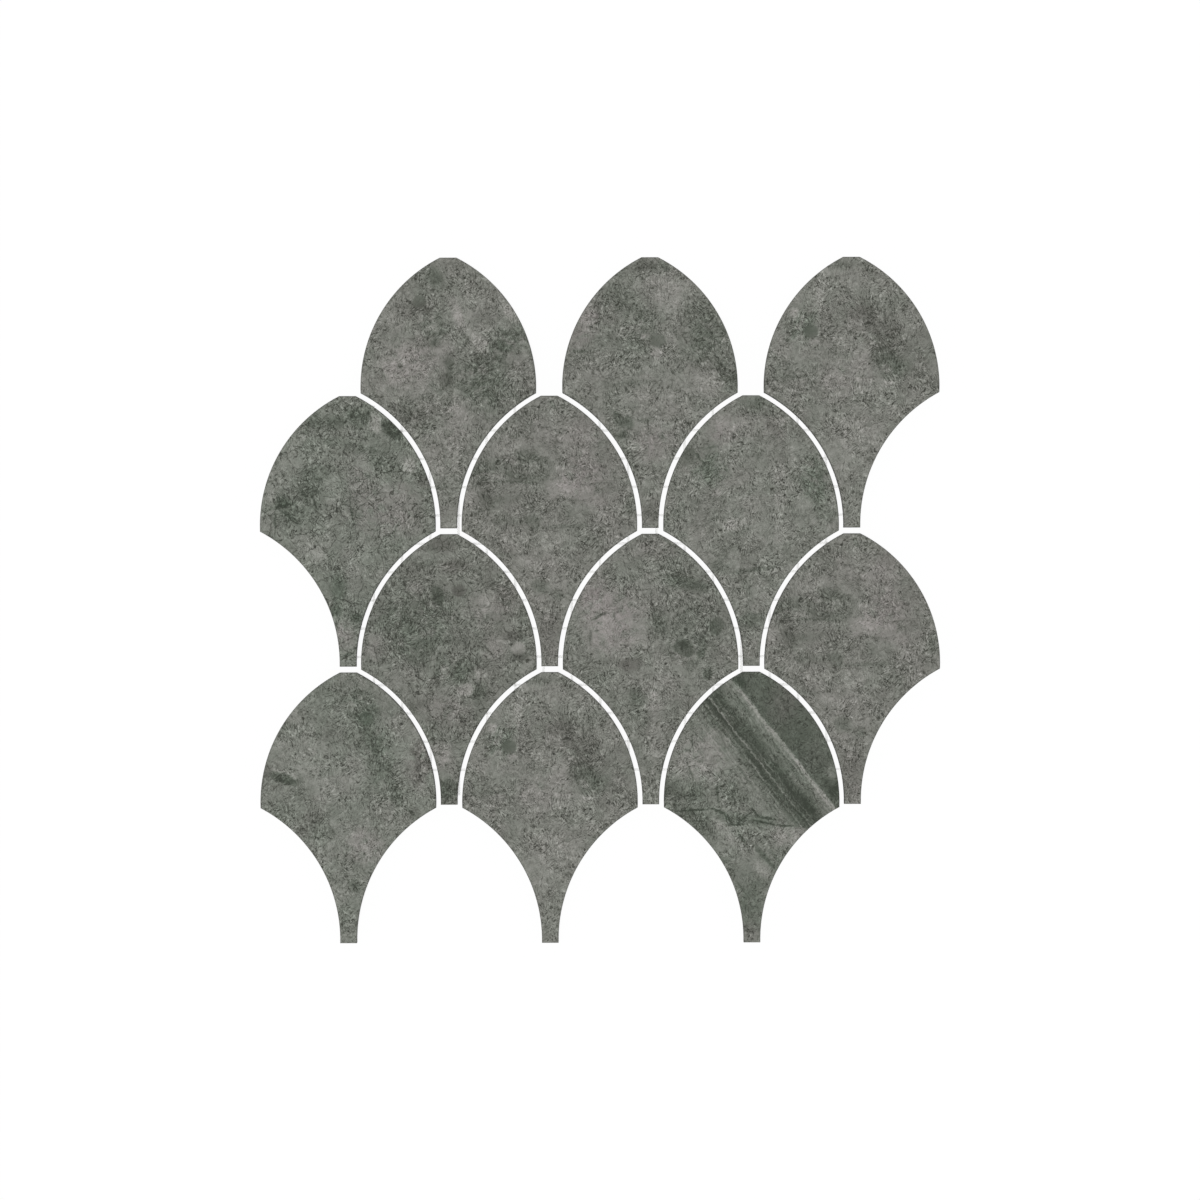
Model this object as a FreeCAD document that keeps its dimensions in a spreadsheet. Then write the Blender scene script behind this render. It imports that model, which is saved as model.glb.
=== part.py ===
"""Fish scale mosaic tile: a sheet of twelve porcelain scales held by a backing net.

Four rows of three scales nest into each other. Every second row is shifted by half
a column, so the stem of each scale runs down between the crowns of two scales of the
next row and ends over the crown of the scale two rows below.
Frame: millimetres, origin at the bottom centre of the sheet, +Y towards the crowns,
+Z out of the face.
"""
import FreeCAD
import Part
import Sketcher
import os

V = FreeCAD.Vector

SIZES = (
    ("scale_width", "77.5"),        # widest part of a scale, between its shoulders
    ("crown_radius", "64"),         # each side of the pointed crown
    ("stem_width", "7.3"),          # neck of the stem, and the flat on top of the crown
    ("joint_width", "2.1"),         # even gap for grout along the curved sides of a scale
    ("end_joint", "2.6"),           # gap between the end of a stem and the crown below it
    ("row_spacing", "61"),          # from one row of crowns to the next
    ("body_thickness", "9"),        # porcelain, without the net
    ("arris", "0.4"),               # eased edge round the face
    ("key_spacing", "24"),          # shallow grooves across the back, a key for adhesive
    ("key_width", "14"),
    ("key_depth", "0.6"),
    ("strand_spacing", "12.5"),     # backing net
    ("strand_width", "1"),
    ("strand_thickness", "0.3"),
    ("weld_depth", "0.1"),          # how far crossing strands sink into each other
    ("net_setback", "4"),           # net kept back from the bays in the sheet's edge
)

ROWS = ("row1", "row2", "row3", "row4")
PLACES = ("left", "middle", "right")

doc = FreeCAD.newDocument("fish_scale_tile")
sheet = doc.addObject("Spreadsheet::Sheet", "Sizes")
for line, (alias, number) in enumerate(SIZES, start=1):
    sheet.set(f"A{line}", alias)
    sheet.set(f"B{line}", number)
    sheet.setAlias(f"B{line}", alias)
doc.recompute()

# What follows from the driving sizes, as expressions on the sheet.
COLUMN_PITCH = "(Sizes.scale_width + Sizes.stem_width + 2 * Sizes.joint_width)"
SCALE_HEIGHT = "(2 * Sizes.row_spacing - Sizes.end_joint)"
SHEET_HEIGHT = f"(3 * Sizes.row_spacing + {SCALE_HEIGHT})"
NET_THICKNESS = "(2 * Sizes.strand_thickness - Sizes.weld_depth)"
HALF_STEM = "Sizes.stem_width / 2"
CROWN_OFFSET = "(Sizes.crown_radius - Sizes.scale_width / 2)"
CROWN_RISE = f"sqrt(Sizes.crown_radius ^ 2 - ({CROWN_OFFSET} + {HALF_STEM}) ^ 2)"
FOOT_RADIUS = "(Sizes.crown_radius + Sizes.joint_width)"
FOOT_OFFSET = f"({FOOT_RADIUS} + {HALF_STEM})"
NET_HALF_X = f"(1.25 * {COLUMN_PITCH} + {HALF_STEM} - Sizes.net_setback)"
NET_HALF_Y = f"({SHEET_HEIGHT} / 2 - Sizes.row_spacing - Sizes.net_setback)"


def value(expression):
    """Number that an expression on the sheet has now."""
    return float(sheet.evalExpression(expression))


def plane(body, role):
    """Origin plane of a body by its role."""
    return next(f for f in body.Origin.OriginFeatures if f.Role == role)


def new_sketch(body, name):
    """Empty sketch on the body's own XY plane."""
    sketch = body.newObject("Sketcher::SketchObject", name)
    sketch.AttachmentSupport = (plane(body, "XY_Plane"), [""])
    sketch.MapMode = "FlatFace"
    return sketch


def dimension(sketch, kind, *where, to):
    """Sketch dimension that follows an expression on the sheet."""
    index = sketch.addConstraint(Sketcher.Constraint(kind, *where, value(to)))
    sketch.setExpression(f"Constraints[{index}]", to)


def rectangle(sketch, left, bottom, width, height):
    """Closed rectangle in a sketch, placed and sized by expressions."""
    x0, y0 = value(left), value(bottom)
    x1, y1 = x0 + value(width), y0 + value(height)
    corners = (V(x0, y0), V(x1, y0), V(x1, y1), V(x0, y1))
    for i in range(4):
        sketch.addGeometry(Part.LineSegment(corners[i], corners[(i + 1) % 4]), False)
    for i in range(4):
        sketch.addConstraint(Sketcher.Constraint("Coincident", i, 2, (i + 1) % 4, 1))
    for side in (0, 2):
        sketch.addConstraint(Sketcher.Constraint("Horizontal", side))
    for side in (1, 3):
        sketch.addConstraint(Sketcher.Constraint("Vertical", side))
    dimension(sketch, "DistanceX", -1, 1, 0, 1, to=left)
    dimension(sketch, "DistanceY", -1, 1, 0, 1, to=bottom)
    dimension(sketch, "DistanceX", 0, 1, 0, 2, to=width)
    dimension(sketch, "DistanceY", 1, 1, 1, 2, to=height)


def arc(centre, radius, start, end):
    """Arc about a centre from one point to another, anticlockwise."""
    first = (start - centre).getAngle(V(1, 0, 0))
    last = (end - centre).getAngle(V(1, 0, 0))
    first = first if start.y >= centre.y else -first
    last = last if end.y >= centre.y else -last
    return Part.ArcOfCircle(Part.Circle(centre, V(0, 0, 1), radius), first, last)


def scale_outline(body):
    """Scale seen from the front, with the centres of its crown arcs on the X axis.

    Crown and foot are two arcs each. A foot arc shares its centre with the crown arc
    of the neighbour that nests under it and is one joint larger, so the joint between
    them keeps one width from the shoulder to the end of the stem.
    """
    sketch = new_sketch(body, "outline")
    half = value(HALF_STEM)
    rise = value(CROWN_RISE)
    crown = value("Sizes.crown_radius")
    foot = value(FOOT_RADIUS)
    sole = rise - value(SCALE_HEIGHT)
    crown_right = V(-value(CROWN_OFFSET), 0)
    foot_right = V(value(FOOT_OFFSET), -value("Sizes.row_spacing"))
    span = foot_right - crown_right
    along = (crown ** 2 - foot ** 2 + span.Length ** 2) / (2 * span.Length)
    aside = (crown ** 2 - along ** 2) ** 0.5
    direction = span / span.Length
    shoulder = crown_right + direction * along + V(-direction.y, direction.x) * aside
    toe = V(half, sole)

    def mirrored(point):
        return V(-point.x, point.y)

    top_right = V(half, rise)
    sketch.addGeometry(Part.LineSegment(top_right, mirrored(top_right)), False)
    sketch.addGeometry(arc(mirrored(crown_right), crown, mirrored(top_right), mirrored(shoulder)), False)
    sketch.addGeometry(arc(mirrored(foot_right), foot, mirrored(toe), mirrored(shoulder)), False)
    sketch.addGeometry(Part.LineSegment(mirrored(toe), toe), False)
    sketch.addGeometry(arc(foot_right, foot, shoulder, toe), False)
    sketch.addGeometry(arc(crown_right, crown, shoulder, top_right), False)

    for first, last in (((0, 2), (1, 1)), ((1, 2), (2, 2)), ((2, 1), (3, 1)),
                        ((3, 2), (4, 2)), ((4, 1), (5, 1)), ((5, 2), (0, 1))):
        sketch.addConstraint(Sketcher.Constraint("Coincident", *first, *last))
    for flat in (0, 3):
        sketch.addConstraint(Sketcher.Constraint("Horizontal", flat))
    for side, sign in ((1, ""), (5, "-")):
        dimension(sketch, "Radius", side, to="Sizes.crown_radius")
        dimension(sketch, "DistanceX", -1, 1, side, 3, to=sign + CROWN_OFFSET)
        sketch.addConstraint(Sketcher.Constraint("PointOnObject", side, 3, -1))
    for side, sign in ((2, "-"), (4, "")):
        dimension(sketch, "Radius", side, to=FOOT_RADIUS)
        dimension(sketch, "DistanceX", -1, 1, side, 3, to=sign + FOOT_OFFSET)
        dimension(sketch, "DistanceY", -1, 1, side, 3, to="-Sizes.row_spacing")
    dimension(sketch, "DistanceX", 0, 2, 0, 1, to="Sizes.stem_width")
    dimension(sketch, "DistanceY", 3, 1, 0, 1, to=SCALE_HEIGHT)
    return sketch


def face_towards(shape, direction):
    """Name of the flat face that looks in a direction and lies furthest out that way."""
    flat = [(face.CenterOfMass.dot(direction), f"Face{i}")
            for i, face in enumerate(shape.Faces, start=1)
            if face.normalAt(0, 0).dot(direction) > 0.999]
    return max(flat)[1]


def strip_pad(body, name, length, *box):
    """Pad of one rectangle."""
    sketch = new_sketch(body, name + "_section")
    rectangle(sketch, *box)
    pad = body.newObject("PartDesign::Pad", name)
    pad.Profile = sketch
    pad.setExpression("Length", length)
    return sketch, pad


def repeat(body, name, feature, sketch, axis, spacing, count):
    """Row of a feature along an axis of its sketch."""
    pattern = body.newObject("PartDesign::LinearPattern", name)
    pattern.Originals = [feature]
    pattern.Direction = (sketch, [axis])
    pattern.Mode = "Spacing"
    pattern.setExpression("Offset", spacing)
    pattern.setExpression("Occurrences", count)
    body.Tip = pattern
    return pattern


def make_scale(label, x, y):
    """One fired scale: outline, eased face and keyed back."""
    body = doc.addObject("PartDesign::Body", label)
    body.Label = label
    outline = scale_outline(body)
    slab = body.newObject("PartDesign::Pad", "slab")
    slab.Profile = outline
    slab.setExpression("Length", "Sizes.body_thickness")
    doc.recompute()

    eased = body.newObject("PartDesign::Chamfer", "eased_face")
    eased.Base = (slab, [face_towards(slab.Shape, V(0, 0, 1))])
    eased.setExpression("Size", "Sizes.arris")

    rib = "(Sizes.key_spacing - Sizes.key_width)"
    sole = f"({CROWN_RISE} - {SCALE_HEIGHT})"
    section = new_sketch(body, "key_section")
    rectangle(section, "-Sizes.scale_width", f"{sole} + {rib}", "2 * Sizes.scale_width",
              "Sizes.key_width")
    key = body.newObject("PartDesign::Pocket", "key")
    key.Profile = section
    key.Reversed = True
    key.setExpression("Length", "Sizes.key_depth")
    repeat(body, "keys", key, section, "V_Axis", "Sizes.key_spacing",
           f"floor({SCALE_HEIGHT} / Sizes.key_spacing)")

    body.setExpression("Placement.Base.x", x)
    body.setExpression("Placement.Base.y", y)
    body.setExpression("Placement.Base.z", NET_THICKNESS)
    return body


def make_net(label):
    """Glass-fibre net: one layer of strands each way, sunk into each other where they cross."""
    body = doc.addObject("PartDesign::Body", label)
    body.Label = label
    body.AllowCompound = True
    reach_x = f"floor({NET_HALF_X} / Sizes.strand_spacing)"
    reach_y = f"floor({NET_HALF_Y} / Sizes.strand_spacing)"

    section, strand = strip_pad(
        body, "weft_strand", "Sizes.strand_thickness",
        f"-{NET_HALF_X}", f"-{reach_y} * Sizes.strand_spacing - Sizes.strand_width / 2",
        f"2 * {NET_HALF_X}", "Sizes.strand_width")
    repeat(body, "weft", strand, section, "V_Axis", "Sizes.strand_spacing", f"2 * {reach_y} + 1")

    section, strand = strip_pad(
        body, "warp_strand", "Sizes.strand_thickness",
        f"-{reach_x} * Sizes.strand_spacing - Sizes.strand_width / 2", f"-{NET_HALF_Y}",
        "Sizes.strand_width", f"2 * {NET_HALF_Y}")
    section.setExpression("AttachmentOffset.Base.z", "Sizes.strand_thickness - Sizes.weld_depth")
    repeat(body, "warp", strand, section, "H_Axis", "Sizes.strand_spacing", f"2 * {reach_x} + 1")
    return body


pieces = []
for row, row_name in enumerate(ROWS):
    shift = "0.25" if row % 2 == 0 else "-0.25"
    for column, place in enumerate(PLACES):
        pieces.append(make_scale(
            f"scale_{row_name}_{place}",
            f"({column - 1} + {shift}) * {COLUMN_PITCH}",
            f"{SHEET_HEIGHT} / 2 - {row} * Sizes.row_spacing - {CROWN_RISE}"))
pieces.append(make_net("backing_net"))
doc.recompute()

for item in doc.Objects:
    if "Invalid" in item.State or "Error" in item.State:
        raise RuntimeError(f"{item.Label} failed: {item.State}")
for piece in pieces:
    if piece.Shape.isNull() or not piece.Shape.isValid():
        raise RuntimeError(f"{piece.Label} has no valid shape")
    if len(piece.Shape.Solids) != 1:
        raise RuntimeError(f"{piece.Label} is not one solid")

os.makedirs("parts", exist_ok=True)
for piece in pieces:
    piece.Shape.exportStep(f"parts/{piece.Label}.step")
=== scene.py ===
"""Looks of a fish scale mosaic sheet: stone-look porcelain scales on a glass-fibre net."""
import functools
import math
import operator
from typing import NamedTuple

import bmesh
import bpy
from mathutils import Matrix, Vector


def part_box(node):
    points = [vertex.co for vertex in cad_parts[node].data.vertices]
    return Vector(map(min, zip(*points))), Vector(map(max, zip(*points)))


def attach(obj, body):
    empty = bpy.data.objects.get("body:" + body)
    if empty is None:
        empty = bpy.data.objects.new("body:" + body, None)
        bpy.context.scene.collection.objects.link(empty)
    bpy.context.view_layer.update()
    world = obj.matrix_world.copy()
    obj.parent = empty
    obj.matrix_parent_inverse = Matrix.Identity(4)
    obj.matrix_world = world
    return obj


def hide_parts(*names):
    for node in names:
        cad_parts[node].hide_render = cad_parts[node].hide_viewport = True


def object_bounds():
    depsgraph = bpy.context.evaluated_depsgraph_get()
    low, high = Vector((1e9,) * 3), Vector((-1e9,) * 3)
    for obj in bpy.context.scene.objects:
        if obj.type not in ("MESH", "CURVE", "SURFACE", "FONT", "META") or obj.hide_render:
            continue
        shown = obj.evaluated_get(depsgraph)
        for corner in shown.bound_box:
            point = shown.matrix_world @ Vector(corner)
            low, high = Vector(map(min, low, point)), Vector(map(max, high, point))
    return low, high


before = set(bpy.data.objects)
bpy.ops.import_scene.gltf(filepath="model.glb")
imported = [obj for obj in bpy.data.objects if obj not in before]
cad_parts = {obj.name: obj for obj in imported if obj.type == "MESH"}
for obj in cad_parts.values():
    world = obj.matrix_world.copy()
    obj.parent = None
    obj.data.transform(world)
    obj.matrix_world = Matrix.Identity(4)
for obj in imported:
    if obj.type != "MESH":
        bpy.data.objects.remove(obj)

bl_info = {
    "name": "Fish Scale Mosaic Sheet",
    "version": (1, 0, 0),
    "blender": (4, 5, 0),
    "location": "3D View > Sidebar > Mosaic",
    "description": "Finishes the scales, the backing net and the stage of a mosaic sheet",
    "category": "Object",
}

MM = 0.001
LEVELS = 255
CAD_BOX = [list(corner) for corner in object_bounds()]
SCALES = sorted(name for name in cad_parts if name.startswith("scale_"))
NET = "backing_net"


class Mark(NamedTuple):
    """Soft-edged oval in a print: a blotch, a clast, a streak or, very thin, a crack.

    x and y are millimetres from the middle of the flat on the crown, y down the scale is
    negative. reach and breadth are half lengths, turn is in degrees, tone in 255ths.
    soft is the share of the oval that fades, calm how far the grain is wiped out in it, and
    tint how much pinker it is, or greener below 0, than its tone makes it.
    """
    x: float
    y: float
    reach: float
    breadth: float
    turn: float
    tone: float
    soft: float = 0.7
    calm: float = 0.0
    tint: float = 0.0


class Bands(NamedTuple):
    """Straight bedding across part of a print, its length turned from the x axis.

    stops pair millimetres to the left of the line with a tone in 255ths, and the bedding fades
    in from the first. It ends at a second line, cut, of x, y and turn, and shows to the left of it.
    """
    x: float
    y: float
    turn: float
    stops: tuple
    cut: tuple


class Print(NamedTuple):
    """One stone-look print.

    tone is its middle tone in 255ths, green how green it is, seed which part of the noise it shows,
    cracks how strong its cracks and veins are, and bands its bedding, where it has one.
    """
    tone: float
    green: float
    seed: float
    cracks: float
    marks: tuple
    bands: Bands | None = None


PRINTS = {
    "streaked": Print(121, -0.2, 1.0, 0.5, (
        Mark(-13, -22, 7, 5, 0, -18, tint=3.5),
        Mark(-8, -31, 8, 6, -20, -26),
        Mark(-12.5, -19.5, 3.4, 3.2, 0, -18, 0.35, 0.8),
        Mark(-6, -9, 4, 5, 20, -24),
        Mark(-6, -38, 2.8, 2.4, 0, -30),
        Mark(0.5, -46.5, 2.4, 5.5, 0, -24),
        Mark(-1, -54, 4, 4.4, 0, -27, 0.5, 0.4, 2.8),
        Mark(16, -56, 14, 11, -15, -23, tint=-1),
        Mark(26, -37, 11, 7, 25, -26, tint=-1.4),
        Mark(20, -44, 9, 5, 40, -14),
        Mark(-18, -48, 16, 11, 15, 18, tint=2.8),
        Mark(4, -25, 3, 9, 15, 18, tint=1.4),
        Mark(13, -37, 19, 3, -52, 14, 0.6),
        Mark(27, -24, 3, 6, 40, 20),
        Mark(-28, -28, 7, 9, 20, 7),
        Mark(-16, -70, 10, 5.5, -25, -26, tint=1.4),
        Mark(3, -74, 6, 14, 0, 13, tint=1.4),
        Mark(35, -54, 5, 7, 0, -11, tint=2.8),
    )),
    "clouded": Print(121, -0.1, 2.0, 0.6, (
        Mark(-3, -4.5, 9, 2.6, 5, -22, tint=2.8),
        Mark(7, -4, 4, 2.4, -30, -24),
        Mark(8, -17, 8, 9, 0, 18),
        Mark(1, -10, 6, 3, 10, 12),
        Mark(-17, -19, 8, 6, 20, -22),
        Mark(-3, -32, 8, 12, 0, -13, tint=-1.4),
        Mark(-4, -29, 1.6, 1.5, 0, 28),
        Mark(-3, -35, 1.3, 1.3, 0, 32),
        Mark(3.5, -37, 3.8, 3.2, 0, -20, 0.35, 0.8),
        Mark(3.5, -42.5, 3.6, 2.6, 0, 20, 0.5),
        Mark(24, -31, 12, 15, -20, -16, tint=-1),
        Mark(35, -51, 5, 8, 0, -28),
        Mark(-29, -30, 7, 11, -15, 11, tint=4.2),
        Mark(-31, -41.5, 5, 0.8, 3, -24),
        Mark(5, -52, 22, 7, 0, 8),
        Mark(22, -57, 9, 5, 0, 13),
        Mark(-6, -55, 12, 1.3, 5, -12),
        Mark(-5, -61, 10, 4, 0, 9),
        Mark(-14, -71.5, 2.4, 4, 30, -27, 0.5),
        Mark(-9.5, -73, 2.2, 3.6, 20, -29, 0.5),
        Mark(-12.5, -78.5, 3, 2, 20, -25, 0.5),
        Mark(-1.5, -72, 5, 1.5, 5, -16),
        Mark(5, -79, 1.7, 1.7, 0, -22),
        Mark(2, -82, 9, 8, 0, 8, tint=2.8),
        Mark(0, -112, 4.6, 6, 0, -17, tint=2.8),
    )),
    "spotted": Print(122, -0.3, 3.0, 0.3, (
        Mark(0, -4, 9, 3, 0, -8),
        Mark(-13, -14, 4, 11, -8, 16),
        Mark(10, -30, 17, 8, -42, -21, tint=4.2),
        Mark(17, -47, 8, 6, -20, -25, tint=-1.4),
        Mark(-22, -30, 7, 8, 0, -17, tint=-2.8),
        Mark(-18, -33, 3.6, 3.2, 0, -23, 0.3, 0.9),
        Mark(-16.5, -37.5, 3.2, 1.6, 0, 20, 0.5, 0.6),
        Mark(-25, -25, 2.2, 2.4, 0, 38),
        Mark(-23.5, -31.5, 1.5, 1.3, 0, 30),
        Mark(0, -52, 14, 9, 0, 10, tint=1.4),
        Mark(16, -56, 3, 2, 20, 19),
        Mark(-33, -52, 6, 5, 0, -10),
        Mark(-25, -53, 8, 1.2, 0, -13),
        Mark(31, -52, 6, 9, 0, -8, tint=1.4),
        Mark(7, -75, 7, 6, 0, 14),
        Mark(-6, -85, 6, 8, 0, 8),
    )),
    "fissured": Print(120, 2.1, 4.0, 1.0, (
        Mark(-17, -12, 5, 5, 40, -30),
        Mark(-6, -12, 8, 4, 5, -22),
        Mark(5, -9, 6, 4.6, -25, -35, 0.5, tint=1.4),
        Mark(12, -12, 3, 5.6, 15, 34, 0.5, 0.3),
        Mark(20, -14.5, 6, 4.4, -40, -46, 0.5),
        Mark(0, -22, 16, 3, -15, -14),
        Mark(16, -30, 9, 5, -55, -19),
        Mark(27, -31, 4, 4.4, 0, 22),
        Mark(34, -38, 6, 3, 0, -19, tint=4.2),
        Mark(6, -38, 6, 9, 0, 7, tint=2.8),
        Mark(-28, -30, 6, 7, 0, 11),
        Mark(-17, -38, 7, 8, 0, -18),
        Mark(-7, -43, 4.6, 8, 0, 13),
        Mark(-20, -50, 12, 7, 10, -17),
        Mark(-29, -47, 4, 3, 0, -30, tint=-1.4),
        Mark(-35, -44, 3, 4, 0, 14),
        Mark(-29, -48.5, 8, 0.9, 15, -32),
        Mark(-26, -53, 7, 0.8, -35, -32),
        Mark(-32, -55, 0.6, 6, 0, -36),
        Mark(-15, -46, 0.6, 5, 26, -30),
        Mark(-19, -44, 0.6, 5, 22, -26),
        Mark(1, -45, 0.5, 4, 5, -24),
        Mark(2, -52.5, 0.6, 5, 12, -38),
        Mark(20.5, -54, 3, 0.5, -8, -32),
        Mark(22.4, -56.4, 3, 0.5, 52, -32),
        Mark(20.5, -60, 0.5, 3, -30, -26),
        Mark(18, -50, 16, 12, 0, 6, tint=4.2),
        Mark(-14, -70, 7, 4, -40, 9),
        Mark(-5, -72, 4, 10, 0, -8),
        Mark(-4, -85, 4, 8, 0, -24, tint=-1.4),
        Mark(-5, -95, 3.4, 3, 0, -22, tint=-1.4),
        Mark(4, -98, 3, 2.4, -20, -32),
        Mark(-1, -106, 4.6, 6, 0, 13, tint=4.2),
        Mark(0, -114, 3.4, 0.7, 20, -26),
    )),
    "smeared": Print(119, -0.9, 5.0, 0.5, (
        Mark(-10, -27, 7, 3.5, -10, -27),
        Mark(-22, -31, 10, 4, -8, -16),
        Mark(-12, -36, 9, 2.4, -8, -19),
        Mark(-16, -38, 12, 0.8, -3, -20),
        Mark(-31, -33, 5, 6, 0, -26),
        Mark(-28, -45, 4, 8, 0, -23, tint=1.4),
        Mark(-36, -45, 4, 6, 0, 14),
        Mark(-18, -21, 8, 5, 0, 10, tint=-1.4),
        Mark(-18, -46, 10, 3, 0, -14, 0.7, 0.4),
        Mark(3, -41, 7, 5, 20, 17, 0.7, 0.3),
        Mark(14, -34, 10, 8, 0, 7, tint=3),
        Mark(16, -44, 13, 5, -10, 9, 0.7, 0.3, 1.5),
        Mark(20, -39, 6, 0.6, 8, -20),
        Mark(10, -46, 8, 0.6, -4, -16),
        Mark(15, -18, 9, 9, 0, 11, tint=2.5),
        Mark(1.5, -4, 1, 3, 30, -26),
        Mark(-14, -55, 16, 2.4, 2, -14),
        Mark(2, -58, 20, 1.2, 2, -13),
        Mark(36, -48, 3, 7, 0, -18),
        Mark(5, -65, 10, 5, 0, 11, tint=-1.4),
        Mark(-19, -70.5, 6, 1.5, 0, -16),
        Mark(-8, -73, 10, 3.6, 0, 8),
        Mark(-4, -84, 5, 4, -30, -19, tint=-1.4),
        Mark(3, -88, 4, 3, 0, -16),
        Mark(0, -105, 5, 10, 0, -8, tint=2.8),
    )),
    "even": Print(120.5, 0.3, 6.0, 0.4, (
        Mark(0, -4, 8, 4, 0, -19),
        Mark(-12, -15, 8, 7, 0, 10, tint=2.8),
        Mark(10, -14, 8, 3, -45, -9, tint=2.8),
        Mark(14.5, -11.5, 3, 2, 20, 19),
        Mark(-28, -25, 4, 5, 0, -18),
        Mark(-27, -27.5, 5, 4, 30, -14, 0.4, 0.5),
        Mark(-22.5, -28, 5, 0.7, -52, -30),
        Mark(-18, -23, 5, 0.7, 8, -24),
        Mark(-18, -33, 8, 7, 0, -17, tint=-2.8),
        Mark(-15, -43, 2.4, 2, 0, 22),
        Mark(-3, -48, 10, 6, 0, 7),
        Mark(-8, -57, 7, 3.5, 8, 24),
        Mark(15, -38, 14, 4, -45, 11),
        Mark(13, -45, 4, 4.4, 0, 14),
        Mark(28, -36, 6, 11, 0, -18, tint=-2.8),
        Mark(33, -48, 5, 8, 0, -14, tint=-1.4),
        Mark(1, -77, 14, 1.2, 8, -20),
        Mark(-14, -76, 5, 4, -30, -24),
        Mark(-5, -82, 5, 4.6, 0, -11),
        Mark(5, -88, 5, 7, 0, 15),
        Mark(0, -99, 6, 4, 0, -16, tint=-1.4),
    )),
    "breccia": Print(115.5, 0.6, 7.0, 0.9, (
        Mark(-2, -5, 7, 4, 0, -19, tint=4.2),
        Mark(3, -14, 8, 4, 0, -16, tint=4.2),
        Mark(-14, -14, 5, 4, 0, -11, tint=1.4),
        Mark(-5, -27, 3.2, 5, 15, -32, 0.4, 0.4),
        Mark(4.5, -25, 3.5, 3, 0, -25, 0.4, 0.5, 5.6),
        Mark(-15, -24, 5, 4, 0, 12, tint=1.4),
        Mark(-15, -41, 16, 14, 0, -14, tint=-2),
        Mark(-3, -32, 6, 5, 0, -13),
        Mark(-17, -52, 8, 6, 0, -14),
        Mark(16, -33, 7, 8, 0, 18, tint=1.4),
        Mark(28, -27, 6, 10, -20, -8, tint=4.2),
        Mark(28, -45, 4, 3, 0, -22, tint=4.2),
        Mark(31, -54, 4, 3.4, 0, -24, tint=2.8),
        Mark(30.8, -50.5, 3.6, 3.2, 0, 28, 0.35, 0.6),
        Mark(20, -50, 6, 5, 20, 13, tint=1.4),
        Mark(-34, -50, 5, 6, 0, 11, tint=1.4),
        Mark(3, -60, 10, 5, 0, -22, tint=-1.4),
        Mark(-2, -61, 2.4, 4.6, -15, 32, 0.5),
        Mark(-6, -65, 3, 3, 0, -27, tint=4.2),
        Mark(5, -65, 4, 4, 0, -16),
        Mark(7.5, -68.5, 4.2, 3.2, 10, 30, 0.4, 0.3),
        Mark(14, -62, 4, 4, 0, 19),
        Mark(14, -69, 4, 4, 0, -22),
        Mark(0, -78, 9, 8, 0, 3, tint=2.8),
        Mark(-13, -75, 8, 3, 10, -14, tint=1.4),
        Mark(-2, -97, 4.6, 8, 0, 19, tint=1.4),
        Mark(0, -113, 5, 6, 0, -34),
    )),
    "pebbled": Print(120, 0.1, 8.0, 0.7, (
        Mark(0, -6, 9, 6, 0, -6, tint=2.8),
        Mark(-17, -39, 13, 14, 10, 18, 0.7, 0.3, 4.2),
        Mark(-26, -25, 6, 7, 0, 6, tint=4.2),
        Mark(-22.5, -36.3, 4.6, 0.7, 28, -42, 0.5),
        Mark(-16, -36, 0.6, 2.6, 0, -26),
        Mark(-26.6, -45, 0.6, 4, 0, -28),
        Mark(16, -22, 12, 3.4, -10, -27, tint=-1.4),
        Mark(31, -22, 4, 6, 30, -20),
        Mark(18, -40, 14, 15, 0, -13),
        Mark(4, -38, 4, 9, 10, -16),
        Mark(29.2, -40.8, 3.6, 4.6, -20, -24, 0.3, 0.5),
        Mark(15, -50.5, 6.4, 5.2, -30, 26, 0.35),
        Mark(15, -50.5, 5.4, 4.2, -30, -46, 0.3, 0.4),
        Mark(22.3, -53, 2.3, 2.1, 0, -27, 0.3),
        Mark(25, -62, 2.5, 2.9, 0, -32, 0.4),
        Mark(-9, -57.5, 6.4, 3.2, 5, -18, 0.4, 0.5, 4.2),
        Mark(-33, -57, 5, 5, 0, -11),
        Mark(5, -66, 12, 5, 0, 10),
        Mark(-18, -64, 6, 4.6, 0, 8, tint=-1.4),
        Mark(1.5, -71.5, 2, 2.4, 0, 24),
        Mark(-6, -72, 4, 6, 0, -20),
        Mark(2, -76, 5, 3, 0, 11, tint=1.4),
        Mark(-5, -83, 5, 5, 0, -13),
        Mark(0, -100, 5, 8, 0, 7),
        Mark(8, -4, 5, 0.8, -40, -22),
    )),
    "shelled": Print(121, 1.4, 9.0, 0.4, (
        Mark(6, -14, 7, 9, 20, -11, tint=-1.4),
        Mark(13, -35, 6.5, 24, 19, -18, tint=-1.4),
        Mark(8, -20.5, 3.6, 3.2, 0, -12, 0.4, 0.6, -1.4),
        Mark(12, -33, 3, 4, 20, -14),
        Mark(21, -54, 4, 6, 15, -18),
        Mark(-5, -8, 8, 7, 0, -7),
        Mark(32, -40, 6, 12, 0, -13, tint=5.6),
        Mark(29, -62, 5, 3, -40, -20, tint=2.8),
        Mark(28, -62, 3, 0.8, -45, -26),
        Mark(-18, -36, 12, 12, 0, 14),
        Mark(-29, -44.6, 8, 2.4, -14, 14, 0.5),
        Mark(-28.5, -46.6, 7.4, 2.5, -20, -43, 0.5, 0.2),
        Mark(-36, -43, 3, 3, 0, -19, tint=2.8),
        Mark(-12, -50, 10, 8, 0, 8),
        Mark(5, -45, 6, 10, 0, 6),
        Mark(-16, -64, 6, 4, -20, -14, tint=2.8),
        Mark(-20, -70, 4, 3, -30, -16, tint=2.8),
        Mark(8, -76, 9, 7, 0, 13, tint=2.8),
        Mark(-5, -80, 6, 7, 0, 6),
        Mark(3, -94, 4.4, 3, -30, -27),
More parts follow.
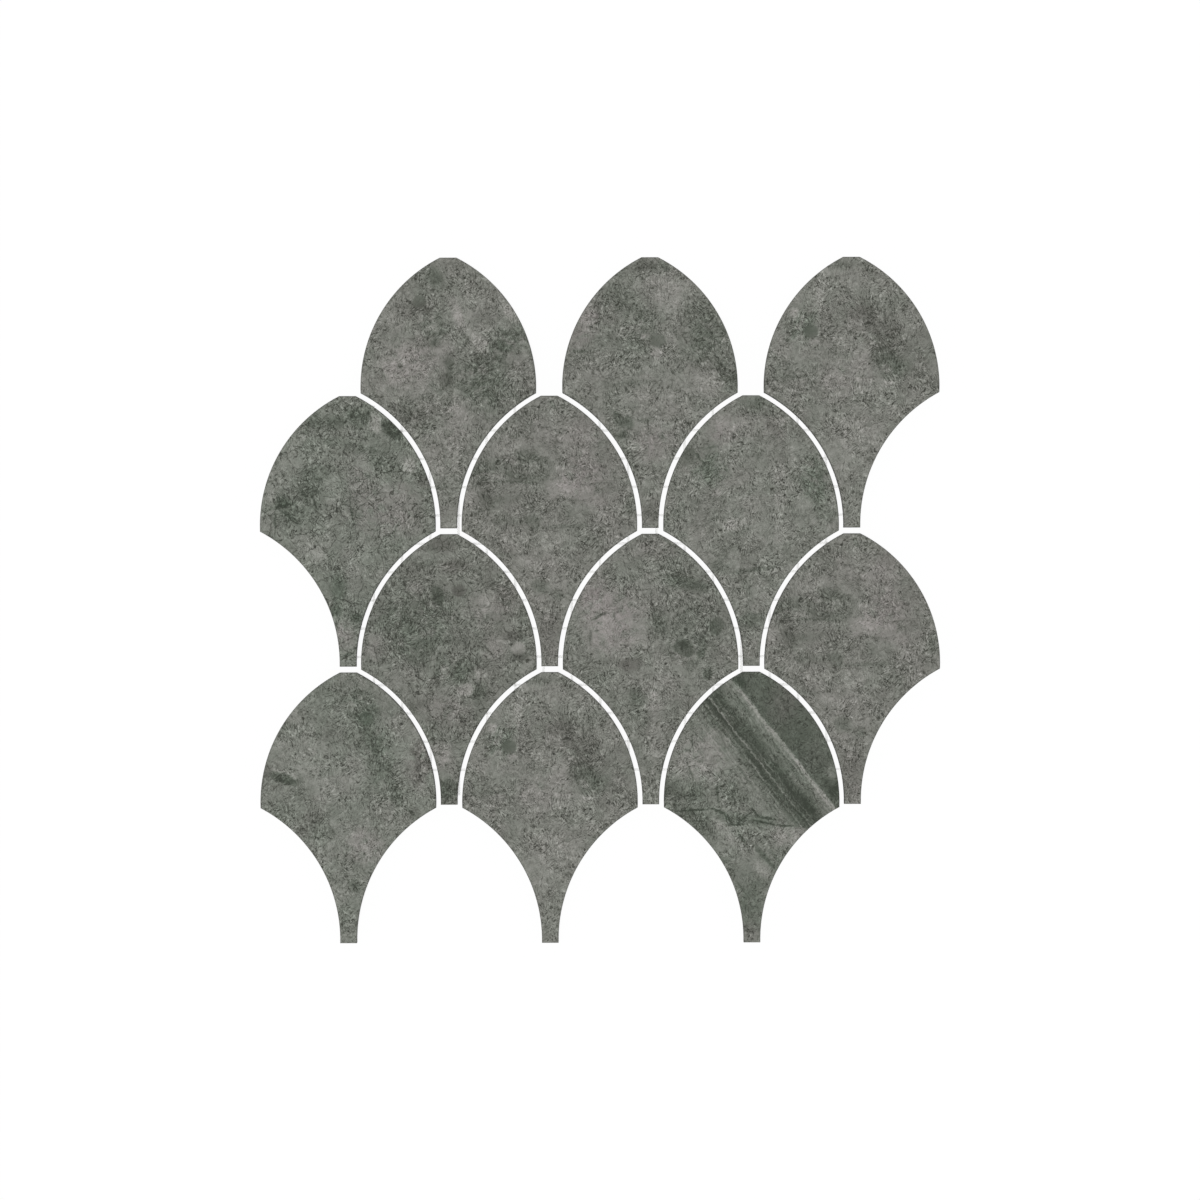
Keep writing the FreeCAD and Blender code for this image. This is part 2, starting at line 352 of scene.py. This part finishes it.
        Mark(1, -107, 4.6, 6, 0, -11),
    )),
    "banded": Print(119.5, 1.6, 10.0, 0.7, (
        Mark(15, -12, 8, 8, 0, 3, tint=4.2),
        Mark(-6, -5, 4, 3, 0, -19, tint=-2.8),
        Mark(36, -44, 4, 4.6, 0, 27, 0.6),
        Mark(24, -59, 8, 5, -52, -22, 0.7),
        Mark(35, -51, 5, 5, 0, -22, 0.6),
        Mark(-36, -53, 6, 7, -30, -28, 0.5, 0.4, 1.4),
        Mark(-25, -65, 11, 4.6, -35, -22, 0.6),
        Mark(-26, -61, 9, 0.6, 3, -44, 0.6),
        Mark(-15, -61.3, 5, 0.7, -22, -44, 0.6),
        Mark(-10.5, -64.8, 3.2, 0.8, -48, -44, 0.6),
        Mark(-7, -67.4, 5, 0.7, 0, -42, 0.6),
        Mark(-3, -64.2, 4.4, 0.6, 38, -40, 0.6),
        Mark(1.5, -62, 3, 0.7, -50, -44, 0.6),
        Mark(7, -64.6, 5, 0.7, -10, -42, 0.6),
        Mark(6, -66.6, 8, 0.6, -10, -38, 0.6),
        Mark(15.5, -68, 4.5, 0.7, -3, -42, 0.6),
        Mark(-2, -65, 16, 3, -5, -14, tint=-1.4),
        Mark(-25, -52.5, 6, 4.6, 0, -22),
        Mark(-8, -53, 7, 4.6, -35, -17),
        Mark(-15, -54, 0.6, 5, 5, -34, 0.6),
        Mark(-26, -33, 0.5, 8, 8, -26),
        Mark(-27, -44, 0.5, 6, 20, -30),
        Mark(-24, -28, 5, 0.5, -45, -26),
        Mark(-22, -37, 14, 11, 30, 14, tint=2.8),
        Mark(-11, -71, 12, 2.6, -48, 19),
        Mark(17, -73, 8, 5, 0, 13, tint=1.4),
        Mark(-4, -74, 5, 0.6, -58, -34),
        Mark(-12, -86, 7, 4.6, -56, -19),
        Mark(6, -82, 10, 1.3, -48, -30, 0.6),
        Mark(10, -81, 5, 0.9, -52, -20),
        Mark(4, -87, 6, 3.4, -48, 19, 0.7),
        Mark(0, -101, 7, 13, 0, -22, 0.8, 0.4, -1.4),
        Mark(0, -98, 14, 22, 0, 0, 0.6, 0.55),
        Mark(0, -115, 4.6, 5, 0, -8, tint=4.2),
        Mark(-5, -95, 5, 0.7, -55, -22),
    ), Bands(10.0, -27.0, -51.5, (
        (-28.0, 0), (-24.0, 1), (-22.6, 0), (-22.2, -16), (-21.8, -2), (-19.4, -8), (-18.9, -18),
        (-18.4, -8), (-17.4, -32), (-16.7, -36), (-16.2, -6), (-15.4, -44), (-13.6, -48), (-12.9, 8),
        (-12.5, -38), (-11.4, -44), (-10.9, -20), (-10.5, -46), (-9.2, -48), (-8.6, -34), (-8.1, -42),
        (-7.0, -26), (-5.6, -15), (-3.0, -12), (-2.2, 4), (-1.7, -6), (-1.0, 18), (0.2, 22),
        (1.0, -30), (3.0, -36), (14.0, -31), (30.0, -34),
    ), (0.0, -61.5, -18.0))),
}

SCALE_PRINTS = {
    "scale_row1_left": "streaked", "scale_row1_middle": "clouded", "scale_row1_right": "spotted",
    "scale_row2_left": "fissured", "scale_row2_middle": "smeared", "scale_row2_right": "even",
    "scale_row3_left": "breccia", "scale_row3_middle": "pebbled", "scale_row3_right": "smeared",
    "scale_row4_left": "shelled", "scale_row4_middle": "spotted", "scale_row4_right": "banded",
}

# Half breadth in millimetres from which a mark is loose, and how far past its oval a crisp
# mark and a loose one fade, as a share of their soft part
LOOSE_FROM = 4.5
FADE_PAST = (0.35, 0.8)

# How far each part of a print moves its tone
GROUND = 0.07
MOTTLE = 0.19
CLAST = 0.06
CRACK = 0.15
VEIN = 0.22
GRAIN = 0.15
DARK_FIBRE = 0.15
PALE_FIBRE = 0.066
STROKE = 0.31
HAIR = 0.2
GLINT = 0.03
CLUMP = 0.11
STREAK = 0.22

# How much stronger the fine parts are on dark ground, weaker in quiet patches and calmer in bedding
CROWDED = 0.6
QUIET = 0.55
BEDDING_CALM = 0.4

# Ways that the fibres of a patch lie, in degrees, and their length in breadths
FIBRE_TURNS = (35.0, -50.0, 85.0)
FIBRE_LENGTH = 3.4

# Tones of the deep, the middle and the pale colour, and the steps from each to the next
RAMP_TONES = (0.21, 0.45, 0.70)
RAMP_STEPS = 4

# How much pinker a paler tone is, and the share of red, green and blue in a unit of tint
TINT_OF_TONE = 28.0
PINKER = (0.009, -0.009, 0.003)

# Millimetres below the face where the print begins to show and where it is whole
PRINT_EDGE = (0.45, 0.02)

# Depth of the grain on a scale in metres, and how far its roughness varies
RELIEF = 0.0002
ROUGHNESS_SPREAD = 0.16

# Sides of a yarn's section, and its rings from one crossing to the next
YARN_SIDES = 10
YARN_RINGS = 5

# Half width of the floor and its gap below the sheet, in metres
FLOOR_REACH = 20.0
FLOOR_GAP = 0.0002

# Spread and tilt of the key light, and the width of the camera's sensor in millimetres
KEY_SPREAD = math.radians(6)
KEY_TILT = math.radians(2)
SENSOR = 36.0

WHITE = (1.0, 1.0, 1.0, 1.0)


class PorcelainSettings(bpy.types.PropertyGroup):
    """Colours and finish of the scales."""
    deep: bpy.props.FloatVectorProperty(
        name="Deep", description="Darkest stone in the print", size=3, min=0, max=1,
        subtype="COLOR_GAMMA", default=(0.206, 0.2115, 0.1835))
    middle: bpy.props.FloatVectorProperty(
        name="Middle", description="Stone in the print at its middle tone", size=3, min=0, max=1,
        subtype="COLOR_GAMMA", default=(0.447, 0.4525, 0.4245))
    pale: bpy.props.FloatVectorProperty(
        name="Pale", description="Lightest stone in the print", size=3, min=0, max=1,
        subtype="COLOR_GAMMA", default=(0.698, 0.7035, 0.6755))
    body: bpy.props.FloatVectorProperty(
        name="Body", description="Fired clay at the cut sides and the back", size=3, min=0, max=1,
        subtype="COLOR_GAMMA", default=(0.43, 0.43, 0.41))
    roughness: bpy.props.FloatProperty(
        name="Roughness", description="Matte finish of the face", min=0, max=1, default=0.72,
        subtype="FACTOR")


class NetSettings(bpy.types.PropertyGroup):
    """Size and colour of the backing net's yarns."""
    yarn: bpy.props.FloatVectorProperty(
        name="Yarn", description="Coated glass fibre", size=3, min=0, max=1,
        subtype="COLOR_GAMMA", default=(0.95, 0.95, 0.93))
    cover: bpy.props.FloatProperty(
        name="Cover", description="How far a yarn hides what is behind it", min=0, max=1, default=0.22,
        subtype="FACTOR")
    spacing: bpy.props.FloatProperty(
        name="Spacing", description="From one yarn to the next", unit="LENGTH", min=0.001,
        default=0.0125, precision=4)
    width: bpy.props.FloatProperty(
        name="Width", description="Across a yarn", unit="LENGTH", min=0.0001, default=0.001,
        precision=4)
    thickness: bpy.props.FloatProperty(
        name="Thickness", description="Through a yarn", unit="LENGTH", min=0.0001, default=0.0003,
        precision=4)


class StageSettings(bpy.types.PropertyGroup):
    """Camera and light round the sheet."""
    view_width: bpy.props.FloatProperty(
        name="View Width", description="Width that the picture covers at the face", unit="LENGTH",
        default=0.5294, min=0.05)
    distance: bpy.props.FloatProperty(
        name="Distance", description="From the camera to the face", unit="LENGTH", default=4.0, min=0.5)
    roll: bpy.props.FloatProperty(
        name="Roll", description="Turn of the camera about the line of sight", subtype="ANGLE",
        default=math.radians(-0.12))
    key: bpy.props.FloatProperty(
        name="Key Light", description="Lamp above the sheet", default=2.0, min=0)
    fill: bpy.props.FloatProperty(
        name="Fill Light", description="Even light from all round", default=0.33, min=0)


class Wire:
    """Output of a shader node. Arithmetic with numbers and other wires adds Math nodes."""

    def __init__(self, tree, socket):
        self.tree = tree
        self.socket = socket

    def feed(self, node, name):
        """Link this wire to an input of a node."""
        self.tree.links.new(self.socket, node.inputs[name])

    def node(self, kind, inputs, output=0, stops=None, **settings):
        """New node in this wire's tree: its settings are made first, then its inputs."""
        node = self.tree.nodes.new(kind)
        for name, value in settings.items():
            setattr(node, name, value)
        if stops:
            elements = node.color_ramp.elements
            while len(elements) < len(stops):
                elements.new(1.0)
            for element, (position, colour) in zip(elements, stops):
                element.position = position
                element.color = colour
        for name, value in inputs.items():
            if isinstance(value, Wire):
                value.feed(node, name)
            else:
                node.inputs[name].default_value = value
        return Wire(self.tree, node.outputs[output])

    def math(self, operation, *values):
        """Math node of one operation on this wire and further values."""
        return self.node("ShaderNodeMath", dict(enumerate((self, *values))), operation=operation)

    def __add__(self, other):
        return self.math("ADD", other)

    __radd__ = __add__

    def __mul__(self, other):
        return self.math("MULTIPLY", other)

    __rmul__ = __mul__

    def __sub__(self, other):
        return self.math("SUBTRACT", other)

    def __rsub__(self, other):
        return self.node("ShaderNodeMath", {0: other, 1: self}, operation="SUBTRACT")

    def fade(self, start, end):
        """1 before start and 0 after end, smooth between them, or the reverse if end comes first."""
        return self.node("ShaderNodeMapRange", {
            "Value": self, "From Min": start, "From Max": end, "To Min": 1.0, "To Max": 0.0},
            interpolation_type="SMOOTHSTEP")

    def tent(self, low, start, end, high):
        """-1 before low, 0 between start and end, 1 after high, smooth between them."""
        return 1 - self.fade(end, high) - self.fade(low, start)

    def vector(self, operation, inputs, output=0):
        """Vector Math node of one operation, with this position or colour as its first input."""
        return self.node("ShaderNodeVectorMath", {0: self, **inputs}, output, operation=operation)

    def part(self, axis):
        """One of a position's three numbers."""
        return self.node("ShaderNodeSeparateXYZ", {"Vector": self}, output=axis)

    def flat(self):
        """This position without its height."""
        return self.vector("MULTIPLY", {1: (1.0, 1.0, 0.0)})

    def moved(self, x=0.0, y=0.0, turn=0.0, reach=1.0, breadth=1.0):
        """This position seen from a place that is turned and stretched."""
        return self.node("ShaderNodeMapping", {
            "Vector": self, "Location": (x, y, 0.0), "Rotation": (0.0, 0.0, math.radians(turn)),
            "Scale": (reach, breadth, 1.0)}, vector_type="TEXTURE")

    def shifted(self, other):
        """Sum of two positions."""
        return self.vector("ADD", {1: other})

    def clouds(self, size, detail=0.0, rough=0.5, output=0, dimensions="2D"):
        """Fractal noise whose largest features are about size millimetres."""
        return self.node("ShaderNodeTexNoise", {
            "Vector": self, "Scale": 1.0 / size, "Detail": detail, "Roughness": rough},
            output, noise_dimensions=dimensions)

    def ridges(self, size, width):
        """Thin lines that wind between the features of a noise."""
        return (self.clouds(size, 1.0, 0.6) - 0.5).math("ABSOLUTE").fade(0.0, width)

    def wander(self, size, amount, detail=2.0):
        """This position, pushed about by noise of a size."""
        push = self.clouds(size, detail, output=1).vector("SUBTRACT", {1: (0.5, 0.5, 0.5)})
        return self.shifted(push.vector("SCALE", {"Scale": amount}))


def linear(colour):
    """Linear light of a display colour."""
    return tuple(c / 12.92 if c <= 0.04045 else ((c + 0.055) / 1.055) ** 2.4 for c in colour)


def new_material(name):
    """New node material with its shader and its position in millimetres."""
    material = bpy.data.materials.new(name)
    material.use_nodes = True
    tree = material.node_tree
    shader = tree.nodes["Principled BSDF"]
    coordinates = Wire(tree, tree.nodes.new("ShaderNodeTexCoord").outputs["Object"])
    return material, shader, coordinates.vector("SCALE", {"Scale": 1 / MM})


def shaded(grain, colour, low, high):
    """A colour that a grain varies from a low to a high share of it."""
    stops = [(place, (*linear([part * share for part in colour]), 1.0))
             for place, share in ((0.3, low), (0.7, high))]
    return grain.node("ShaderNodeValToRGB", {"Fac": grain}, stops=stops)


def total(wires):
    """Sum of some wires, or 0 where there are none."""
    return functools.reduce(operator.add, wires, 0.0)


def marked(places, marks):
    """Tone of a print's crisp marks and of its loose ones, their tint, and how far they calm the grain.

    places holds the position with a ragged edge for crisp marks and a freer one for loose marks.
    """
    tones, tints, calm = ([], []), [], 0.0
    for mark in marks:
        loose = min(mark.reach, mark.breadth) > LOOSE_FROM
        inside = places[loose].moved(mark.x, mark.y, mark.turn, mark.reach, mark.breadth)
        inside = inside.vector("LENGTH", {}, output=1)
        inside = inside.fade(1.0 - mark.soft, 1.0 + mark.soft * FADE_PAST[loose])
        tones[loose].append(inside * (mark.tone / LEVELS))
        if mark.tint:
            tints.append(inside * mark.tint)
        if mark.calm:
            calm = (inside * mark.calm).math("MAXIMUM", calm)
    return total(tones[0]), total(tones[1]), total(tints), calm


def bedded(place, bands):
    """Tone of straight bedding with fine streaks in its first half, and where it shows."""
    low, high = bands.stops[0][0], bands.stops[-1][0]
    stops = []
    for offset, tone in bands.stops:
        shade = 0.5 + tone / LEVELS
        stops.append(((offset - low) / (high - low), (shade, shade, shade, 1.0)))
    across = place.moved(bands.x, bands.y, bands.turn).part(1)
    across = across.node("ShaderNodeMapRange", {"Value": across, "From Min": low, "From Max": high})
    tone = across.node("ShaderNodeValToRGB", {"Fac": across}, stops=stops) - 0.5
    streaks = place.moved(bands.x, bands.y, bands.turn, 16.0, 1.0).clouds(0.9, 1.0) - 0.5
    tone = tone + streaks * across.fade(0.48, 0.52) * STREAK
    shown = (1 - place.moved(*bands.cut).part(1).fade(-0.4, 0.4)) * (1 - across.fade(0.0, 0.12))
    return tone * shown, shown


def broken(ragged, bent):
    """Clasts, above and below 0, and how far cracks between them and veins lower the tone."""
    cells = {"Vector": ragged, "Scale": 1 / 9.0}
    clasts = ragged.node("ShaderNodeTexVoronoi", cells, output=1, voronoi_dimensions="2D") - 0.5
    edges = ragged.node("ShaderNodeTexVoronoi", cells, feature="DISTANCE_TO_EDGE",
                        voronoi_dimensions="2D")
    cracks = edges.fade(0.0, 0.04) * bent.clouds(13.0, 2.0).fade(0.56, 0.46)
    veins = ragged.wander(2.0, 1.2).ridges(7.0, 0.016) * bent.clouds(5.0, 1.0).fade(0.52, 0.42)
    return clasts, cracks * CRACK + veins * VEIN


def fibred(seeded, bent):
    """Tone of fine fibres that lie in patches, with strokes and hairlines across them."""
    laid = seeded.wander(9.0, 4.0).wander(1.8, 0.8)
    patches = bent.clouds(9.0, 1.0)
    first, last = patches.fade(0.42, 0.47), 1 - patches.fade(0.53, 0.58)
    dark = pale = 0.0
    for turn, share in zip(FIBRE_TURNS, (first, 1 - first - last, last)):
        fibre = laid.moved(0.0, 0.0, turn, FIBRE_LENGTH, 1.0).clouds(0.58, 1.0)
        dark = fibre.fade(0.26, 0.44) * share + dark
        pale = (1 - fibre.fade(0.56, 0.74)) * share + pale
    strokes = laid.ridges(2.6, 0.024) * seeded.clouds(3.2).fade(0.62, 0.46)
    hairs = laid.moved(40.0, 0.0).ridges(1.3, 0.036) * seeded.clouds(7.0, 1.0).fade(0.58, 0.42)
    return pale * PALE_FIBRE - dark * DARK_FIBRE - strokes * STROKE - hairs * HAIR


def stone(place, recipe):
    """Tone of a stone-look print, from 0 to 1, and its tint, above 0 for pink and below for green."""
    seeded = place.moved(-170.0 * recipe.seed, 90.0 * recipe.seed)
    bent = seeded.wander(12.0, 9.0)
    ragged = seeded.wander(4.0, 3.0, 3.0)
    tight = place.wander(1.5, 1.5)
    spots, blotches, stain, calm = marked((tight, tight.wander(7.0, 5.0)), recipe.marks)
    if recipe.bands:
        bedding, shown = bedded(tight.wander(9.0, 2.2), recipe.bands)
        spots = spots + bedding
        calm = (shown * BEDDING_CALM).math("MAXIMUM", calm)
    ground = blotches + (bent.clouds(26.0, 2.0) - 0.5) * GROUND
    clasts, cracks = broken(ragged, bent)
    mottle = (ragged.clouds(5.0, 3.0, 0.65) - 0.5) * MOTTLE

    clumps = ragged.clouds(1.7, 1.0)
    clumps = clumps.fade(0.66, 0.60) * GLINT + (clumps - 0.5) * CLUMP
    grain = (seeded.clouds(0.5) - 0.5) * GRAIN
    crowd = (ground * 5.0 + bent.clouds(10.0, 2.0) * 1.7).fade(0.65, 1.05)
    quiet = bent.moved(70.0, 0.0).clouds(14.0, 2.0).fade(0.40, 0.60)
    fine = (grain + fibred(seeded, bent) + clumps) * (crowd * CROWDED - quiet * QUIET + 1.0)

    detail = fine + mottle + clasts * CLAST - cracks * recipe.cracks
    tone = spots + ground + detail * (1 - calm) + recipe.tone / LEVELS
    tint = (ground + spots + mottle * 0.5 + clasts * 0.05) * TINT_OF_TONE + stain
    tint = tint + seeded.clouds(14.0, 2.0).tent(0.38, 0.50, 0.54, 0.68) - recipe.green
    return tone, tint.math("MINIMUM", tint * 0.75 + 0.2)


def stone_colour(tone, tint, settings):
    """Colour of the print at a tone and a tint."""
    ends = tuple(zip(RAMP_TONES, (settings.deep, settings.middle, settings.pale)))
    stops = []
    for (low, first), (high, last) in zip(ends, ends[1:]):
        for step in range(RAMP_STEPS):
            share = step / RAMP_STEPS
            mixed = [a + (b - a) * share for a, b in zip(first, last)]
            stops.append((low + (high - low) * share, (*linear(mixed), 1.0)))
    stops.append((RAMP_TONES[-1], (*linear(settings.pale), 1.0)))
    plain = tone.node("ShaderNodeValToRGB", {"Fac": tone}, stops=stops)
    turned = tint.node("ShaderNodeVectorMath", {0: PINKER, "Scale": tint}, operation="SCALE")
    return plain.vector("MULTIPLY", {1: turned.shifted((1.0, 1.0, 1.0))})


def placed(scene, data):
    """New object in the scene, named as its mesh, lamp or camera is."""
    piece = bpy.data.objects.new(data.name, data)
    scene.collection.objects.link(piece)
    return piece


class MOSAIC_OT_scales(bpy.types.Operator):
    """Give every scale its stone-look face and its plain fired sides and back"""
    bl_idname = "mosaic.scales"
    bl_label = "Finish Scales"

    def execute(self, context):
        for name in SCALES:
            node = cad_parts[name]
            node.data.materials.clear()
            node.data.materials.append(self.porcelain(name, context.scene.mosaic_porcelain))
        return {"FINISHED"}

    @staticmethod
    def porcelain(name, settings):
        """Material of one scale, with its print on the face and bare clay below."""
        low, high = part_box(name)
        material, shader, position = new_material(name.replace("scale", "porcelain"))
        place = position.flat().moved((low.x + high.x) / 2 / MM, high.y / MM)
        face = stone_colour(*stone(place, PRINTS[SCALE_PRINTS[name]]), settings)
        clay = position.clouds(1 / 0.8, 4.0, 0.7, dimensions="3D")
        clay = shaded(clay, settings.body, 0.88, 1.10)
        start, end = (high.z / MM - depth for depth in PRINT_EDGE)
        on_face = 1 - position.part(2).fade(start, end)
        colour = face.node("ShaderNodeMix", {"Factor": on_face, 6: clay, 7: face}, output=2,
                           data_type="RGBA")
        colour.feed(shader, "Base Color")
        relief = position.clouds(1 / 0.7, 4.0, 0.65, dimensions="3D")
        bump = relief.node("ShaderNodeBump", {"Height": relief, "Strength": 0.25, "Distance": RELIEF})
        bump.feed(shader, "Normal")
        rough = relief * ROUGHNESS_SPREAD + (settings.roughness - ROUGHNESS_SPREAD / 2)
        rough.feed(shader, "Roughness")
        shader.inputs["Specular IOR Level"].default_value = 0.3
        return material


class MOSAIC_OT_net(bpy.types.Operator):
    """Weave the glass-fibre net under the scales"""
    bl_idname = "mosaic.net"
    bl_label = "Weave Net"

    def execute(self, context):
        settings = context.scene.mosaic_net
        mesh = self.weave(settings)
        mesh.materials.append(self.glass_fibre(settings))
        net = placed(context.scene, mesh)
        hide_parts(NET)
        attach(net, "root")
        return {"FINISHED"}

    def weave(self, settings):
        """Mesh of two sets of yarns that pass over and under each other in the net's box."""
        low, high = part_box(NET)
        middle = (low + high) / 2
        sway = (high.z - low.z - settings.thickness) / 2
        mesh = bpy.data.meshes.new("woven_net")
        shape = bmesh.new()
        for along, across in ((0, 1), (1, 0)):
            reach = high[along] - low[along]
            rows = math.floor((high[across] - low[across]) / 2 / settings.spacing)
            for row in range(-rows, rows + 1):
                offset = middle[across] + row * settings.spacing
                rise = sway if (row + along) % 2 else -sway
                yarn = self.yarn(settings, reach)
                for vert in yarn.verts:
                    run, side, up = vert.co
                    swing = math.cos(math.pi * run / settings.spacing)
                    vert.co[along] = middle[along] + run
                    vert.co[across] = offset + side
                    vert.co.z = middle.z + up + rise * swing
                yarn.to_mesh(mesh)
                yarn.free()
                shape.from_mesh(mesh)
        bmesh.ops.recalc_face_normals(shape, faces=shape.faces)
        for face in shape.faces:
            face.smooth = len(face.verts) == 4
        shape.to_mesh(mesh)
        shape.free()
        return mesh

    @staticmethod
    def yarn(settings, reach):
        """One straight yarn of oval section along x, cut into rings."""
        yarn = bmesh.new()
        oval = Matrix.Diagonal((1.0, settings.width / 2, settings.thickness / 2, 1.0))
        bmesh.ops.create_cone(yarn, cap_ends=True, segments=YARN_SIDES, radius1=1.0, radius2=1.0,
                              depth=reach, matrix=oval @ Matrix.Rotation(math.pi / 2, 4, "Y"))
        lengthwise = [edge for edge in yarn.edges if edge.calc_length() > reach * 0.9]
        cuts = round(reach / settings.spacing * YARN_RINGS)
        bmesh.ops.subdivide_edges(yarn, edges=lengthwise, cuts=cuts)
        return yarn

    @staticmethod
    def glass_fibre(settings):
        """Material of the yarns: thin coated fibre that lets what is behind it through."""
        material, shader, position = new_material("glass_fibre")
        fibre = position.clouds(1 / 2.5, 3.0, 0.6, dimensions="3D")
        shaded(fibre, settings.yarn, 0.95, 1.0).feed(shader, "Base Color")
        shader.inputs["Roughness"].default_value = 0.5
        shader.inputs["Alpha"].default_value = settings.cover
        return material


class MOSAIC_OT_stage(bpy.types.Operator):
    """Lay a white floor under the sheet, light it evenly and look straight down on it"""
    bl_idname = "mosaic.stage"
    bl_label = "Set Stage"

    def execute(self, context):
        scene, settings = context.scene, context.scene.mosaic_stage
        low, high = (Vector(corner) for corner in CAD_BOX)
        self.lay_floor(scene, low.z - FLOOR_GAP)
        self.light(scene, settings)
        lens = bpy.data.cameras.new("camera")
        lens.sensor_width = SENSOR
        lens.lens = SENSOR * settings.distance / settings.view_width
        camera = placed(scene, lens)
        camera.location = ((low.x + high.x) / 2, (low.y + high.y) / 2, high.z + settings.distance)
        camera.rotation_euler.z = settings.roll
        scene.camera = camera
        scene.view_settings.view_transform = "Standard"
        return {"FINISHED"}

    @staticmethod
    def lay_floor(scene, height):
        """Floor that looks white to the camera and still takes a little shadow."""
        shape = bmesh.new()
        bmesh.ops.create_grid(shape, x_segments=1, y_segments=1, size=FLOOR_REACH)
        bmesh.ops.translate(shape, verts=shape.verts, vec=(0.0, 0.0, height))
        mesh = bpy.data.meshes.new("floor")
        shape.to_mesh(mesh)
        shape.free()
        floor = placed(scene, mesh)

        material = bpy.data.materials.new("white_floor")
        material.use_nodes = True
        tree = material.node_tree
        tree.nodes.clear()
        path = tree.nodes.new("ShaderNodeLightPath")
        seen = Wire(tree, path.outputs["Is Camera Ray"])
        for ray in ("Is Glossy Ray", "Is Transmission Ray"):
            seen = seen.math("MAXIMUM", Wire(tree, path.outputs[ray]))
        plain = seen.node("ShaderNodeBsdfDiffuse", {"Color": (0.9, 0.9, 0.9, 1.0)})
        glow = seen.node("ShaderNodeEmission", {"Color": WHITE, "Strength": 1.02})
        mixed = seen.node("ShaderNodeMixShader", {"Fac": seen * 0.9, 1: plain, 2: glow})
        mixed.feed(tree.nodes.new("ShaderNodeOutputMaterial"), "Surface")
        mesh.materials.append(material)

    @staticmethod
    def light(scene, settings):
        """Even light from all round, white to the camera, and a lamp overhead."""
        world = bpy.data.worlds.new("studio")
        world.use_nodes = True
        tree = world.node_tree
        seen = Wire(tree, tree.nodes.new("ShaderNodeLightPath").outputs["Is Camera Ray"])
        background = tree.nodes["Background"]
        background.inputs["Color"].default_value = WHITE
        (seen * (1.0 - settings.fill) + settings.fill).feed(background, "Strength")
        scene.world = world

        lamp = bpy.data.lights.new("overhead", "SUN")
        lamp.energy = settings.key
        lamp.angle = KEY_SPREAD
        placed(scene, lamp).rotation_euler = (KEY_TILT, -KEY_TILT, 0.0)


class MOSAIC_PT_sheet(bpy.types.Panel):
    """Sizes, colours and steps of the mosaic sheet"""
    bl_idname = "MOSAIC_PT_sheet"
    bl_label = "Mosaic Sheet"
    bl_space_type = "VIEW_3D"
    bl_region_type = "UI"
    bl_category = "Mosaic"

    def draw(self, context):
        for group, _, step in SECTIONS:
            box = self.layout.box()
            settings = getattr(context.scene, group)
            for name in settings.bl_rna.properties.keys():
                if name not in ("rna_type", "name"):
                    box.prop(settings, name)
            box.operator(step.bl_idname)


SECTIONS = (
    ("mosaic_porcelain", PorcelainSettings, MOSAIC_OT_scales),
    ("mosaic_net", NetSettings, MOSAIC_OT_net),
    ("mosaic_stage", StageSettings, MOSAIC_OT_stage),
)
CLASSES = (*(cls for _, *pair in SECTIONS for cls in pair), MOSAIC_PT_sheet)


def register():
    for cls in CLASSES:
        bpy.utils.register_class(cls)
    for group, settings, _ in SECTIONS:
        setattr(bpy.types.Scene, group, bpy.props.PointerProperty(type=settings))


def unregister():
    for group, _, _ in SECTIONS:
        delattr(bpy.types.Scene, group)
    for cls in reversed(CLASSES):
        bpy.utils.unregister_class(cls)


def main():
    register()
    bpy.ops.mosaic.scales()
    bpy.ops.mosaic.net()
    bpy.ops.mosaic.stage()


if __name__ == "__main__":
    main()
